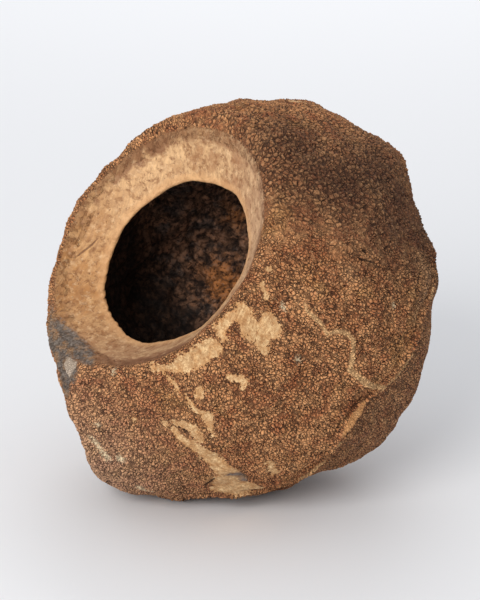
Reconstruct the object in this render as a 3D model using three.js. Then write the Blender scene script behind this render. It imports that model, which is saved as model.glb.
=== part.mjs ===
// An empty woody fruit pod of the paradise nut tree, lying on its side with its lid gone.
// It grew as one piece, so it is one closed mesh: bark outside, a bevelled lip round the mouth, and the hollow.
//
// Units are millimetres, +Z is up. Two frames are used. The pod's own frame has its centre inside the body and
// +z out through the mouth: a direction is given there by degrees around that axis and degrees down from it.
// The row's frame is the pod as it lies, on a small flat spot, with the mouth towards -Y and up.

import * as THREE from "three";

// How the pod lies
const MOUTH_TILT = 36.6; // degrees that the mouth's axis rises above the surface
const REST_HEIGHT = 94.6; // from the surface up to the body's centre
const CENTRE_X = 1.5; // the body's centre in the row's frame
const CENTRE_Y = 3.8;

// Body
const BODY_RADIUS = 94.6;
const BASE_DROP = 6; // how much nearer the base pole is than the sides
const BASE_DROP_DOWN = 115; // where the drop begins, in degrees down
const BASE_DROP_FADE = 65; // the degrees that it takes to reach its full amount
const SHOULDER_RISE = 3; // the body swells this much towards the rim
const SHOULDER_DOWN = 42;
const SHOULDER_SPREAD = 14;
const FACET_SHARPNESS = 44; // the exponent that rounds the edges between facets

// Rim, mouth and wall. The rim and the mouth are both a little off the axis, and the rim leans.
const RIM_RADIUS = 62;
const RIM_SHIFT = 3.6;
const RIM_SHIFT_AROUND = 285;
const RIM_HEIGHT = 72.5;
const RIM_LEAN = 3;
const RIM_LEAN_AROUND = 330;
const RIM_ROUNDING = 6.5; // length of the rounded crest on each side of the rim's corner
const MOUTH_RADIUS = 41.8;
const MOUTH_SHIFT = 3.8;
const MOUTH_SHIFT_AROUND = 255;
const MOUTH_HEIGHT = 53.5;
const MOUTH_RAGGED = 0.5; // how far the mouth's edge wanders in and out
const MOUTH_WAVES = 7;
const MOUTH_FINE_WAVES = 17;
const MOUTH_FINE_PHASE = 40;
const MOUTH_FINE_SHARE = 0.3;
const EDGE_THICKNESS = 1.8; // the blunt edge between the lip and its underside
const LIP_SAG = 1.2; // the bevel is this much hollow at its middle
const LIP_RELIEF_START = 0.1; // how much of the lip's relief there is at the rim
const LIP_RELIEF_RISE = 1.6;
const HOLLOW_RADIUS = 78.5;
const HOLLOW_FOLLOWS = 0.35; // share of the outside's lumps that the hollow repeats
const HOLLOW_BASE_RISE = 5; // the wall is thicker at the base
const HOLLOW_BASE_DOWN = 110;
const HOLLOW_BASE_FADE = 60;
const HOLLOW_FULL_DOWN = 54; // where the lip's underside has reached the hollow's full radius

// Swellings and hollows of the body: degrees around and down, height and how far each spreads in degrees
const LUMPS = [
  { name: "lower left corner", around: 250, down: 78, height: 23.7, spread: 24 },
  { name: "dark corner", around: 63, down: 97, height: 9.4, spread: 13 },
  { name: "crown", around: 86, down: 84, height: 8.6, spread: 17 },
  { name: "left swell", around: 241, down: 66, height: 6.9, spread: 16 },
  { name: "left rim drop", around: 208, down: 50, height: -3.3, spread: 18 },
  { name: "worn corner", around: 29, down: 105, height: 3.9, spread: 12 },
  { name: "far rim drop", around: 160, down: 45, height: -5.5, spread: 32 },
  { name: "right hollow", around: 27, down: 123, height: -4.6, spread: 11 },
  { name: "base swell", around: 334, down: 131, height: 3.7, spread: 14 },
  { name: "notch under the ledge", around: 306, down: 125, height: -5, spread: 9 },
  { name: "resting swell", around: 270, down: 127, height: 5.8, spread: 14 },
  { name: "rear corner", around: 128, down: 98, height: 5, spread: 20 },
  { name: "back corner", around: 190, down: 100, height: 6, spread: 20 },
  { name: "right swell", around: 48, down: 100, height: 2.5, spread: 9 },
  { name: "dip beside the crown", around: 71, down: 89, height: -2.8, spread: 7 },
  { name: "low front swell", around: 266, down: 96, height: 2.4, spread: 9 },
  { name: "swell by the flat spot", around: 276, down: 104, height: 1.3, spread: 9 },
  { name: "low right hollow", around: 12, down: 120, height: -1.7, spread: 9 },
  { name: "low right swell", around: 356, down: 118, height: 1.3, spread: 8 },
  { name: "swell at the notch", around: 314, down: 117, height: 1.7, spread: 7 },
];

// Nearly flat sides: the direction that each faces and its distance from the centre
const FACETS = [
  { name: "left facet", around: 227, down: 65, distance: 93.1 },
  { name: "under facet", around: 285, down: 113, distance: 99.9 },
  { name: "corner facet", around: 267, down: 97, distance: 108.7 },
  { name: "right facet", around: 46, down: 115, distance: 95.2 },
  { name: "crown facet", around: 81, down: 86, distance: 101.5 },
];

// The ring where the flower's cup stood: a thin raised line, with a groove on the side of the mouth
// and the base set lower beyond it. It dips at the scars of the sepals.
const RING_DOWN = 100;
const RING_DIPS = [
  { around: 22, depth: 3.5, spread: 16 },
  { around: 336, depth: -6, spread: 12 },
  { around: 306, depth: 11, spread: 14 },
  { around: 70, depth: -3, spread: 14 },
  { around: 128, depth: 4, spread: 16 },
  { around: 190, depth: 3.5, spread: 16 },
  { around: 225, depth: -2.5, spread: 14 },
];
const RIDGE_HEIGHT = 1.5;
const RIDGE_WIDTH = 1.1; // degrees down
const GROOVE_DEPTH = 1.1;
const GROOVE_OFFSET = -2.2;
const GROOVE_WIDTH = 1.1;
const BASE_STEP = 1.4; // how much lower the base side is just past the ridge
const BASE_STEP_FADE = 22;
const LEDGE_AROUND = 337; // where the ridge stands out as a pale ledge
const LEDGE_SPREAD = 7;
const LEDGE_GAIN = 1.1;
const RIDGE_EVEN = 0.7; // the ridge is fainter and stronger by turns
const RIDGE_VARIES = 0.3;
const RIDGE_WAVES = 5; // how many times round the pod
const RIDGE_PHASE = 60;

// Places where the bark has come away: centre, half length, half width and the bearing of the length, in degrees
const PEELED_DEPTH = 1.1;
const PEELED = [
  { around: 341, down: 51, long: 6.5, wide: 4.5, bearing: 30 },
  { around: 318, down: 46, long: 8, wide: 3.6, bearing: 90 },
  { around: 306, down: 61, long: 6, wide: 2, bearing: 0 },
  { around: 297, down: 71, long: 9, wide: 2.6, bearing: 0 },
  { around: 296, down: 91, long: 13, wide: 3.8, bearing: 0 },
];
const PEELED_EDGE = 0.35; // soft part of a patch's edge, as a share of its size

// The scar of the stalk at the base pole
const STALK_RADIUS = 13;
const STALK_RIM = 1.4;
const STALK_RIM_WIDTH = 3.5;
const STALK_PIT = 3.2;
const PIT_FLOOR = 0.3; // radius of the pit's floor and width of its side, as shares of the scar's radius
const PIT_SIDE = 0.6;

// Low relief of the bark and the hollow, as wavelength and height of seeded waves
const BARK_RELIEF = [
  { wavelength: 52, height: 0.7, seed: 0.11 },
  { wavelength: 26, height: 0.45, seed: 0.37 },
  { wavelength: 14, height: 0.35, seed: 0.71 },
];
const HOLLOW_RELIEF = [
  { wavelength: 48, height: 1.6, seed: 0.23 },
  { wavelength: 24, height: 0.9, seed: 0.59 },
];
const LIP_RELIEF = [
  { wavelength: 40, height: 0.5, seed: 0.43 },
  { wavelength: 17, height: 0.25, seed: 0.83 },
];
const WAVES = 12;

// Fineness of the mesh
const BARK_EDGE = 6.3;
const LIP_EDGE = 5.6;
const HOLLOW_EDGE = 9;
const ROW_SHARE = 0.87; // distance between rows as a share of a triangle's edge
const RING_ROWS = [-7, -4.2, -2.2, -0.9, 0.2, 1.6, 4.2, 7.6]; // rows beside the ridge, in degrees down
const STALK_ROWS = [4.5, 9, 12.5, 15.5, 20]; // distances from the base pole
const CREST_ROWS = [0, 0.25, 0.5, 0.75, 1];

const GOLDEN_ANGLE = Math.PI * (3 - Math.sqrt(5));
const radians = THREE.MathUtils.degToRad;
const degrees = THREE.MathUtils.radToDeg;

function direction(around, down) {
  const a = radians(around);
  const d = radians(down);
  return new THREE.Vector3(Math.sin(d) * Math.cos(a), Math.sin(d) * Math.sin(a), Math.cos(d));
}

function smooth(t) {
  const s = THREE.MathUtils.clamp(t, 0, 1);
  return s * s * (3 - 2 * s);
}

// Signed difference of two bearings, between -180 and 180
function turn(a, b) {
  return ((((a - b + 180) % 360) + 360) % 360) - 180;
}

function bell(x, spread) {
  return Math.exp(-((x / spread) ** 2));
}

function bellOnSphere(u, around, down, spread) {
  return Math.exp(-(1 - u.dot(direction(around, down))) / (1 - Math.cos(radians(spread))));
}

// Relief from plane waves whose directions are spread evenly by the golden angle
function relief(p, layers) {
  let sum = 0;
  for (const { wavelength, height, seed } of layers) {
    for (let k = 0; k < WAVES; k++) {
      const z = 1 - (2 * k + 1) / WAVES;
      const ring = Math.sqrt(1 - z * z);
      const a = k * GOLDEN_ANGLE + seed * 40;
      const along = p.x * ring * Math.cos(a) + p.y * ring * Math.sin(a) + p.z * z;
      const stretch = 0.8 + 0.4 * ((k * 0.618 + seed) % 1);
      const phase = (k * 0.755 + seed) % 1;
      sum += height * Math.sin(2 * Math.PI * (along / (wavelength * stretch) + phase)) / Math.sqrt(WAVES / 2);
    }
  }
  return sum;
}

function ringDown(around) {
  let down = RING_DOWN;
  for (const dip of RING_DIPS) {
    down += dip.depth * bell(turn(around, dip.around), dip.spread);
  }
  return down;
}

// The ridge, groove and step of the ring at a place on the body
function ringRelief(around, down) {
  const across = down - ringDown(around);
  const even = RIDGE_EVEN + RIDGE_VARIES * Math.sin(radians(RIDGE_WAVES * around + RIDGE_PHASE));
  const ledge = even + LEDGE_GAIN * bell(turn(around, LEDGE_AROUND), LEDGE_SPREAD);
  const ridge = ledge * RIDGE_HEIGHT * bell(across, RIDGE_WIDTH);
  const groove = ledge * GROOVE_DEPTH * bell(across - GROOVE_OFFSET, GROOVE_WIDTH);
  const step = BASE_STEP * smooth(across) * (1 - smooth(across / BASE_STEP_FADE));
  return ridge - groove - step;
}

// How far the bark has come away at a place, from 0 to 1
function peeled(around, down) {
  let most = 0;
  for (const patch of PEELED) {
    const east = turn(around, patch.around) * Math.sin(radians(patch.down));
    const south = down - patch.down;
    const b = radians(patch.bearing);
    const along = (south * Math.cos(b) + east * Math.sin(b)) / patch.long;
    const aside = (east * Math.cos(b) - south * Math.sin(b)) / patch.wide;
    most = Math.max(most, smooth((1 - Math.hypot(along, aside)) / PEELED_EDGE));
  }
  return most;
}

function lumps(u) {
  let sum = 0;
  for (const lump of LUMPS) {
    sum += lump.height * bellOnSphere(u, lump.around, lump.down, lump.spread);
  }
  return sum;
}

// The body before its fine relief: a lumpy ball cut by the facets
function bodyRadius(u, down) {
  const baseDrop = BASE_DROP * smooth((down - BASE_DROP_DOWN) / BASE_DROP_FADE);
  const shoulder = SHOULDER_RISE * bell(down - SHOULDER_DOWN, SHOULDER_SPREAD);
  const ball = BODY_RADIUS - baseDrop + shoulder + lumps(u);
  let inverse = ball ** -FACET_SHARPNESS;
  for (const facet of FACETS) {
    const facing = Math.max(u.dot(direction(facet.around, facet.down)), 0.001);
    inverse += (facing / facet.distance) ** FACET_SHARPNESS;
  }
  return inverse ** (-1 / FACET_SHARPNESS);
}

// Straight down in the pod's own frame
const DOWNWARD = new THREE.Vector3(0, -Math.cos(radians(MOUTH_TILT)), -Math.sin(radians(MOUTH_TILT)));

function stalkScar(fromPole) {
  const rim = STALK_RIM * bell(fromPole - STALK_RADIUS, STALK_RIM_WIDTH);
  const pit = STALK_PIT * (1 - smooth((fromPole - STALK_RADIUS * PIT_FLOOR) / (STALK_RADIUS * PIT_SIDE)));
  return rim - pit;
}

function barkPoint(around, down) {
  const u = direction(around, down);
  let r = bodyRadius(u, down);
  const fromPole = r * Math.sin(radians(down));
  r += ringRelief(around, down) - PEELED_DEPTH * peeled(around, down);
  r += relief(u.clone().multiplyScalar(r), BARK_RELIEF);
  if (down > 90) {
    r += stalkScar(fromPole);
  }
  const facing = u.dot(DOWNWARD);
  if (facing > 0) {
    r = Math.min(r, REST_HEIGHT / facing);
  }
  return u.multiplyScalar(r);
}

// A point at a distance from the mouth's axis and a height along it, the whole circle shifted sideways
function circlePoint(around, radius, height, shift, shiftAround) {
  const a = radians(around);
  const s = radians(shiftAround);
  const x = radius * Math.cos(a) + shift * Math.cos(s);
  const y = radius * Math.sin(a) + shift * Math.sin(s);
  return new THREE.Vector3(x, y, height);
}

// The sharp corner that the rim would have without its rounding
function rimCorner(around) {
  const height = RIM_HEIGHT + RIM_LEAN * Math.cos(radians(around - RIM_LEAN_AROUND));
  return circlePoint(around, RIM_RADIUS, height, RIM_SHIFT, RIM_SHIFT_AROUND);
}

function mouthEdge(around) {
  const fine = MOUTH_FINE_SHARE * Math.sin(radians(MOUTH_FINE_WAVES * around + MOUTH_FINE_PHASE));
  const ragged = MOUTH_RAGGED * (Math.sin(radians(MOUTH_WAVES * around)) + fine);
  return circlePoint(around, MOUTH_RADIUS + ragged, MOUTH_HEIGHT, MOUTH_SHIFT, MOUTH_SHIFT_AROUND);
}

function aroundOf(p) {
  return degrees(Math.atan2(p.y, p.x));
}

function downOf(p) {
  return degrees(Math.acos(p.z / p.length()));
}

// Where the bark's own surface gives way to the rounded crest of the rim
function crestStart(around) {
  const corner = rimCorner(around);
  const down = downOf(corner) + degrees(RIM_ROUNDING / corner.length());
  return { around: aroundOf(corner), down };
}

// The bevel, from the rim's corner at 0 to the mouth's edge at 1
function lipPoint(around, t) {
  const p = rimCorner(around).lerp(mouthEdge(around), t);
  p.z -= LIP_SAG * Math.sin(Math.PI * t);
  p.z += relief(p, LIP_RELIEF) * Math.sin(Math.PI * Math.min(1, t * LIP_RELIEF_RISE + LIP_RELIEF_START));
  return p;
}

function lipLength(around) {
  return rimCorner(around).distanceTo(mouthEdge(around));
}

// The rounded crest, from the bark at 0 to the bevel at 1
function crestPoint(around, t) {
  const start = crestStart(around);
  const from = barkPoint(start.around, start.down);
  const to = lipPoint(around, RIM_ROUNDING / lipLength(around));
  const corner = rimCorner(around);
  const p = from.multiplyScalar((1 - t) ** 2);
  p.addScaledVector(corner, 2 * t * (1 - t));
  p.addScaledVector(to, t * t);
  return p;
}

// The hollow: the lip's underside near the mouth, then the cavity, down to its pole
function hollowPoint(around, down) {
  const u = direction(around, down);
  const edge = mouthEdge(around);
  edge.z -= EDGE_THICKNESS;
  const opening = smooth((down - downOf(edge)) / (HOLLOW_FULL_DOWN - downOf(edge)));
  const baseRise = HOLLOW_BASE_RISE * smooth((down - HOLLOW_BASE_DOWN) / HOLLOW_BASE_FADE);
  const full = HOLLOW_RADIUS - baseRise + HOLLOW_FOLLOWS * lumps(u);
  const rough = relief(u.clone().multiplyScalar(full), HOLLOW_RELIEF);
  return u.multiplyScalar(edge.length() + (full + rough - edge.length()) * opening);
}

// One closed row of points round the axis, with its count set by its length
function row(radius, edge, half, at) {
  const count = Math.max(8, Math.round((2 * Math.PI * radius) / edge));
  const points = [];
  for (let k = 0; k < count; k++) {
    const turned = ((k + (half ? 0.5 : 0)) * 360) / count;
    points.push({ turned, at: at(turned) });
  }
  return points;
}

// Rows of the bark from the base pole up to the crest, closer together beside the ring
function barkRows() {
  const rows = [];
  let half = false;
  const add = (radius, downAt) => {
    rows.push(row(radius, BARK_EDGE, half, (around) => barkPoint(around, downAt(around))));
    half = !half;
  };
  for (const distance of STALK_ROWS) {
    const down = 180 - degrees(distance / (BODY_RADIUS - BASE_DROP));
    add(distance, () => down);
  }
  const rowStep = degrees((BARK_EDGE * ROW_SHARE) / BODY_RADIUS);
  const stalkEnd = 180 - degrees(STALK_ROWS.at(-1) / (BODY_RADIUS - BASE_DROP));
  const baseCount = Math.round((stalkEnd - RING_DOWN - RING_ROWS.at(-1)) / rowStep);
  for (let k = 1; k < baseCount; k++) {
    const t = k / baseCount;
    const downAt = (around) => THREE.MathUtils.lerp(stalkEnd, ringDown(around) + RING_ROWS.at(-1), t);
    add(BODY_RADIUS * Math.sin(radians(downAt(0))), downAt);
  }
  for (const offset of RING_ROWS.toReversed()) {
    add(BODY_RADIUS, (around) => ringDown(around) + offset);
  }
  const crestDown = crestStart(0).down;
  const sideCount = Math.round((RING_DOWN + RING_ROWS[0] - crestDown) / rowStep);
  for (let k = 1; k < sideCount; k++) {
    const t = k / sideCount;
    const downAt = (around) => {
      return THREE.MathUtils.lerp(ringDown(around) + RING_ROWS[0], crestStart(around).down, t);
    };
    add(BODY_RADIUS * Math.sin(radians(downAt(0))), downAt);
  }
  return rows;
}

function crestRows() {
  return CREST_ROWS.map((t, k) => row(RIM_RADIUS, LIP_EDGE, k % 2 === 1, (around) => crestPoint(around, t)));
}

function lipRows() {
  const rows = [];
  const length = lipLength(0);
  const start = RIM_ROUNDING / length;
  const count = Math.round((length - RIM_ROUNDING) / (LIP_EDGE * ROW_SHARE));
  for (let k = 1; k <= count; k++) {
    const t = start + ((1 - start) * k) / count;
    const radius = THREE.MathUtils.lerp(RIM_RADIUS, MOUTH_RADIUS, t);
    rows.push(row(radius, LIP_EDGE, k % 2 === 1, (around) => lipPoint(around, t)));
  }
  return rows;
}

function hollowRows() {
  const rows = [];
  const edgeDown = (around) => {
    const edge = mouthEdge(around);
    edge.z -= EDGE_THICKNESS;
    return downOf(edge);
  };
  const step = degrees((HOLLOW_EDGE * ROW_SHARE) / HOLLOW_RADIUS);
  const poleDown = 180 - step;
  const count = Math.round((poleDown - edgeDown(0)) / step);
  for (let k = 0; k <= count; k++) {
    const t = k / count;
    const downAt = (around) => THREE.MathUtils.lerp(edgeDown(around), poleDown, t);
    const radius = HOLLOW_RADIUS * Math.sin(radians(downAt(0)));
    const edge = THREE.MathUtils.lerp(LIP_EDGE, HOLLOW_EDGE, smooth(t * 6));
    rows.push(row(radius, edge, k % 2 === 1, (around) => hollowPoint(around, downAt(around))));
  }
  return rows;
}

// A closed surface from rows of points between two poles. Neighbouring rows may differ in count:
// each band is stitched by stepping along whichever row is behind.
function stitch(firstPole, rows, lastPole) {
  const positions = [];
  const addPoint = (p) => positions.push(...toRow(p).toArray()) / 3 - 1;
  const indices = [];
  const rings = rows.map((points) => points.map(({ turned, at }) => ({ turned, index: addPoint(at) })));
  const first = addPoint(firstPole);
  const last = addPoint(lastPole);
  const fan = (ring, pole, flip) => {
    ring.forEach(({ index }, k) => {
      const next = ring[(k + 1) % ring.length].index;
      indices.push(...(flip ? [pole, index, next] : [pole, next, index]));
    });
  };
  fan(rings[0], first, false);
  for (let r = 0; r + 1 < rings.length; r++) {
    const a = rings[r];
    const b = rings[r + 1];
    const ahead = (ring, k) => ring[k % ring.length].turned + (k >= ring.length ? 360 : 0);
    let i = 0;
    let j = 0;
    while (i < a.length || j < b.length) {
      const stepA = j === b.length || (i < a.length && ahead(a, i + 1) < ahead(b, j + 1));
      const from = a[i % a.length].index;
      const other = b[j % b.length].index;
      if (stepA) {
        indices.push(from, a[(i + 1) % a.length].index, other);
        i++;
      } else {
        indices.push(from, b[(j + 1) % b.length].index, other);
        j++;
      }
    }
  }
  fan(rings.at(-1), last, true);
  const geometry = new THREE.BufferGeometry();
  geometry.setAttribute("position", new THREE.Float32BufferAttribute(positions, 3));
  geometry.setIndex(indices);
  geometry.computeVertexNormals();
  return geometry;
}

// From the pod's own frame to the row's frame, with the flat spot exactly on the surface
function toRow(p) {
  const tilt = radians(MOUTH_TILT);
  const x = p.x + CENTRE_X;
  const y = p.y * Math.sin(tilt) - p.z * Math.cos(tilt) + CENTRE_Y;
  const z = p.y * Math.cos(tilt) + p.z * Math.sin(tilt) + REST_HEIGHT;
  return new THREE.Vector3(x, y, Math.abs(z) < 0.01 ? 0 : z);
}

function makePod() {
  const rows = [...barkRows(), ...crestRows(), ...lipRows(), ...hollowRows()];
  const geometry = stitch(barkPoint(0, 180), rows, hollowPoint(0, 180));
  const bark = new THREE.MeshStandardMaterial({ color: 0x7e573b, roughness: 0.9, metalness: 0 });
  const pod = new THREE.Mesh(geometry, bark);
  pod.name = "pod";
  return pod;
}

const group = new THREE.Group();
group.add(makePod());

export default group;
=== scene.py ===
# An empty woody pod of the paradise nut tree, lying on its side on a pale table, with its lid gone.
#
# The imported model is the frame. Its one node is stood for by a shell of wood, which is the bevelled lip,
# the mouth and the hollow, and by cork bark in four quarters, fine enough for its cracks to be relief.
#
# The form's functions work in millimetres in the pod's own frame: the centre is inside the body and +z goes
# out through the mouth. A place on the pod is given by degrees around that axis and degrees down from it.

import math

import bpy
import numpy as np
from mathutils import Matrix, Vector


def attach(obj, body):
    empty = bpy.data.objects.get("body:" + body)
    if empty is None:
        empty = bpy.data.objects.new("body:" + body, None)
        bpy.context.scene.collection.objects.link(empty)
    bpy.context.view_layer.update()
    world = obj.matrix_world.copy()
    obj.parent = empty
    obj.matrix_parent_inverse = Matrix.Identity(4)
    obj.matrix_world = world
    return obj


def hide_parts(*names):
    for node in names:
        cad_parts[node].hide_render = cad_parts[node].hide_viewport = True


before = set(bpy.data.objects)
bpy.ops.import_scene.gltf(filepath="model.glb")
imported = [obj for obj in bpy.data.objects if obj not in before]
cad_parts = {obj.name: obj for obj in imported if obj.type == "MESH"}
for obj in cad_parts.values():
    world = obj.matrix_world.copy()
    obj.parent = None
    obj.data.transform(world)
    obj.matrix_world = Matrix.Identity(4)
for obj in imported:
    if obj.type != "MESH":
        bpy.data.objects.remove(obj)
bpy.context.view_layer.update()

MM = 0.001

# How the pod lies
MOUTH_TILT = 36.6
REST_HEIGHT = 94.6
CENTRE = np.array([1.5, 3.8, REST_HEIGHT])

# Body
BODY_RADIUS = 94.6
BASE_DROP = 6
BASE_DROP_DOWN = 115
BASE_DROP_FADE = 65
SHOULDER_RISE = 3
SHOULDER_DOWN = 42
SHOULDER_SPREAD = 14
FACET_SHARPNESS = 44

# Rim, mouth and wall
RIM_RADIUS = 62
RIM_SHIFT = 3.6
RIM_SHIFT_AROUND = 285
RIM_HEIGHT = 72.5
RIM_LEAN = 3
RIM_LEAN_AROUND = 330
RIM_ROUNDING = 6.5
MOUTH_RADIUS = 41.8
MOUTH_SHIFT = 3.8
MOUTH_SHIFT_AROUND = 255
MOUTH_HEIGHT = 53.5
MOUTH_RAGGED = 0.5
MOUTH_WAVES = 7
MOUTH_FINE_WAVES = 17
MOUTH_FINE_PHASE = 40
MOUTH_FINE_SHARE = 0.3
MOUTH_CHIPPED = 0.22
CHIP_WAVES = 41
CHIP_FINE_WAVES = 67
CHIP_FINE_PHASE = 80
CHIPPED_LEAST = 0.2
CHIPPED_AROUND = 222
CHIPPED_SPREAD = 30
EDGE_THICKNESS = 1.8
EDGE_BULGE = 0.35
LIP_SAG = 1.2
LIP_RELIEF_START = 0.1
LIP_RELIEF_RISE = 1.6
HOLLOW_RADIUS = 78.5
HOLLOW_FOLLOWS = 0.35
HOLLOW_BASE_RISE = 5
HOLLOW_BASE_DOWN = 110
HOLLOW_BASE_FADE = 60
HOLLOW_FULL_DOWN = 54

# Swellings of the body: around, down, height, spread
LUMPS = [
    (250, 78, 23.7, 24),
    (63, 97, 9.4, 13),
    (86, 84, 8.6, 17),
    (241, 66, 6.9, 16),
    (208, 50, -3.3, 18),
    (29, 105, 3.9, 12),
    (160, 45, -5.5, 32),
    (27, 123, -4.6, 11),
    (334, 131, 3.7, 14),
    (306, 125, -5, 9),
    (270, 127, 5.8, 14),
    (128, 98, 5, 20),
    (190, 100, 6, 20),
    (48, 100, 2.5, 9),
    (71, 89, -2.8, 7),
    (266, 96, 2.4, 9),
    (276, 104, 1.3, 9),
    (12, 120, -1.7, 9),
    (356, 118, 1.3, 8),
    (314, 117, 1.7, 7),
]

# Nearly flat sides: around, down, distance from the centre
FACETS = [
    (227, 65, 93.1),
    (285, 113, 99.9),
    (267, 97, 108.7),
    (46, 115, 95.2),
    (81, 86, 101.5),
]

# The ring where the flower's cup stood: around, depth, spread of its dips
RING_DOWN = 100
RING_DIPS = [
    (22, 3.5, 16),
    (336, -6, 12),
    (306, 11, 14),
    (70, -3, 14),
    (128, 4, 16),
    (190, 3.5, 16),
    (225, -2.5, 14),
]
RIDGE_HEIGHT = 1.5
RIDGE_WIDTH = 1.1
GROOVE_DEPTH = 1.1
GROOVE_OFFSET = -2.2
GROOVE_WIDTH = 1.1
BASE_STEP = 1.4
BASE_STEP_FADE = 22
LEDGE_AROUND = 337
LEDGE_SPREAD = 7
LEDGE_GAIN = 1.1
RIDGE_EVEN = 0.7
RIDGE_VARIES = 0.3
RIDGE_WAVES = 5
RIDGE_PHASE = 60

# The scar of the stalk at the base pole
STALK_RADIUS = 13
STALK_RIM = 1.4
STALK_RIM_WIDTH = 3.5
STALK_PIT = 3.2
PIT_FLOOR = 0.3
PIT_SIDE = 0.6

# Low relief as wavelength, height and seed of plane waves
BARK_RELIEF = [(52, 0.7, 0.11), (26, 0.45, 0.37), (14, 0.35, 0.71)]
HOLLOW_RELIEF = [(48, 1.6, 0.23), (24, 0.9, 0.59)]
LIP_RELIEF = [(40, 0.5, 0.43), (17, 0.25, 0.83)]
WAVES = 12
GOLDEN_ANGLE = math.pi * (3 - math.sqrt(5))

# The way up from the base pole to the crest, in degrees and in millimetres
CREST_FROM_BASE = 133
CLIMB = math.radians(CREST_FROM_BASE) * BODY_RADIUS

# Fineness of the meshes, in millimetres
BARK_EDGE = 0.58
BARK_BACK_EDGE = 5
BARK_THICKNESS = 3.2
BARK_END = 1.97
CREST_LENGTH = 11.7
WOOD_UNDER_BARK = 2.2
WOOD_HIDDEN_EDGE = 5
LIP_EDGE = 0.72
HOLLOW_EDGE = 1.35
ROW_SHARE = 0.87
QUARTERS = [60, 150, 240, 330]

# Where the bark has come away and the wood is bare: strokes of around, down and half width in millimetres
BARE = [
    [(342.2, 44.6, 4), (338.7, 49.5, 5)],
    [(338.7, 50.5, 4.6), (343.2, 54.2, 4.8)],
    [(344.8, 52, 4.4), (343, 54, 4.8)],
    [(338.5, 53.8, 4), (336.6, 56.3, 2.6)],
    [(338.1, 43.6, 2.4), (331.5, 43.1, 2.8), (330.1, 46, 2.2)],
    [(324.3, 46, 5), (311.4, 45.6, 5.2)],
    [(309, 45.9, 2.4), (298.4, 43.1, 2.4)],
    [(301.4, 44.8, 1.2), (303.2, 49.2, 1.4), (303.6, 51.6, 1)],
    [(304.7, 53.3, 0.9), (305.2, 59, 2), (307, 61.9, 3), (306, 64.8, 2), (304.4, 68.7, 0.8)],
    [(309.9, 54.5, 2.8), (309.4, 55, 2.6)],
    [(321.9, 55.8, 1.7), (324.6, 59, 1.9)],
    [(323.7, 58.6, 1.6), (322.4, 60.4, 1.2)],
    [(291.9, 60.2, 1.8), (291.5, 60.8, 1.6)],
    [(295.8, 60.8, 2.4), (298.5, 61.6, 2.8), (300.8, 64.4, 2.6), (299.8, 68.5, 2.8)],
    [(293.8, 63.2, 2.2), (294.4, 66.6, 2.6), (296, 70.2, 3.2)],
    [(296.5, 69.2, 3.6), (297.6, 76.8, 4.4), (297.4, 87.2, 5.2), (294, 93, 5.6), (296.3, 101.7, 5)],
    [(286.6, 95.6, 3.6), (294.1, 108.5, 3.4)],
    [(293, 87.5, 3.4), (289.5, 93, 4.2), (293, 99.5, 4.6)],
    [(281.1, 58, 1.6), (281, 58.5, 1.5)],
    [(309.4, 88.7, 2), (307.8, 94.8, 2.2)],
    [(355, 45.4, 1.1), (351.1, 48, 1.2)],
    [(0.4, 44.9, 1.2), (0.6, 45.3, 1.1)],
]
BARE_SOFT = 2

# Chalky specks, smears of grey weathering, dark clefts and pale raised lines
CHALK = [
    [(351.9, 53.1, 0.6), (351.6, 53.5, 0.6)],
    [(340.8, 65.5, 0.7), (340.6, 65.8, 0.7)],
    [(265, 64, 0.4), (266.5, 67, 0.9), (268.5, 70.5, 0.9)],
    [(271.8, 70.8, 1.4), (271.9, 71.1, 1.4)],
    [(268.4, 59.6, 0.5), (268.3, 59.9, 0.5)],
    [(279.2, 42.7, 0.6), (279, 43.1, 0.5)],
    [(270, 84.4, 0.8), (269.8, 85.6, 0.8), (270.5, 89, 0.5)],
    [(9.4, 85.5, 0.5), (9.3, 85.9, 0.5)],
]
CHALK_SOFT = 3.2
WEATHERED = [
    [(222, 43, 2), (232, 43, 4), (240, 44, 6), (250, 45, 7), (259, 46, 6)],
    [(256, 47, 6), (257, 52, 4)],
    [(297.2, 87.2, 2.2), (298.8, 90.6, 3), (297, 95, 2.4)],
]
WEATHERED_SOFT = 3
WEATHERED_LIP = [(226, -0.05, 2.5), (236, 0.05, 4.5), (247, 0.12, 6), (258, 0.1, 5.5), (266, 0.02, 3)]
BEIGE = [[(255.3, 43.4, 2.6), (258.3, 44.4, 3.6), (258.6, 46, 2.4)]]
BEIGE_SOFT = 1.5
CLEFTS = [
    [(291.5, 87.4, 0.8), (285.4, 92, 1)],
    [(297.4, 64.1, 1), (297.4, 64.6, 1)],
    [(23, 94.6, 0.35), (17.7, 94.3, 0.35), (13.1, 95, 0.25)],
    [(17.1, 69.5, 0.5), (17.8, 74.3, 0.4)],
    [(19.7, 70.2, 1), (19.7, 70.8, 1)],
    [(342, 93, 0.3), (338.3, 91.8, 0.5), (334.5, 91.5, 0.5), (331, 93.2, 0.4)],
]
CLEFT_SOFT = 0.8
SCARS = [
    [
        (356.2, 58.2, 0.5), (354.6, 59.7, 0.8), (354, 62.6, 1), (353.4, 65, 0.9), (351.8, 68.1, 0.8),
        (354.4, 70.7, 0.8), (355, 73.5, 1), (354.3, 75.8, 1), (352, 77.8, 1.1), (348.9, 80.4, 1.1),
        (347, 81.2, 1.2), (346.7, 84.3, 1.3), (346.6, 88.5, 1.5), (347.1, 95, 1.5), (348.5, 98, 0.9),
    ],
    [(328, 99, 0.8), (322, 102, 0.7), (317.6, 105, 0.7), (309.7, 109.4, 0.7), (300, 112, 0.6)],
    [(347.5, 100, 0.9), (352, 101.8, 0.7), (359.6, 102.6, 0.6), (10.4, 104.5, 0.6), (22, 102.5, 0.5)],
]
SCAR_SOFT = 0.9
SCAR_RISE = 0.8
LEDGE_RISE = 0.9
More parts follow.
